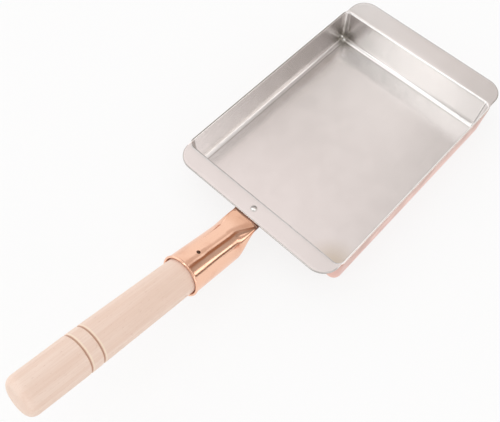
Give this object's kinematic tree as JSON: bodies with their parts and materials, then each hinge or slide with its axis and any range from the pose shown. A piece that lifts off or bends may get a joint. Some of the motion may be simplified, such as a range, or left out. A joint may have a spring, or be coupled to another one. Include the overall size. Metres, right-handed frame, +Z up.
{
  "type": "tamagoyaki pan",
  "caption": "Rectangular copper omelette pan lined with tin, with flared end flanges, a riveted copper handle socket and a straight turned wooden grip.",
  "frame": {"origin": "middle of the tray's flat base, on the stove's surface", "axes": "+Z up out of the tray; +Y away from the grip, along the tray's length; +X to the right, seen from the grip"},
  "size_m": [0.153, 0.4314, 0.0836],
  "materials": {
    "tray_copper": "satin copper sheet with a faint heat tint",
    "tin": "wiped tin, satin",
    "socket_copper": "polished copper",
    "rivet_metal": "tinned rivet, satin",
    "grip_wood": "bare turned softwood, sanded",
    "nail_metal": "darkened copper"
  },
  "bodies": {
    "root": {"pan_body": "tray_copper", "tin_lining": "tin", "handle_socket": "socket_copper", "flange_rivet": "rivet_metal", "wall_rivet_left": "rivet_metal", "wall_rivet_right": "rivet_metal", "wooden_grip": "grip_wood", "grip_nail": "nail_metal"}
  },
  "joints": []
}
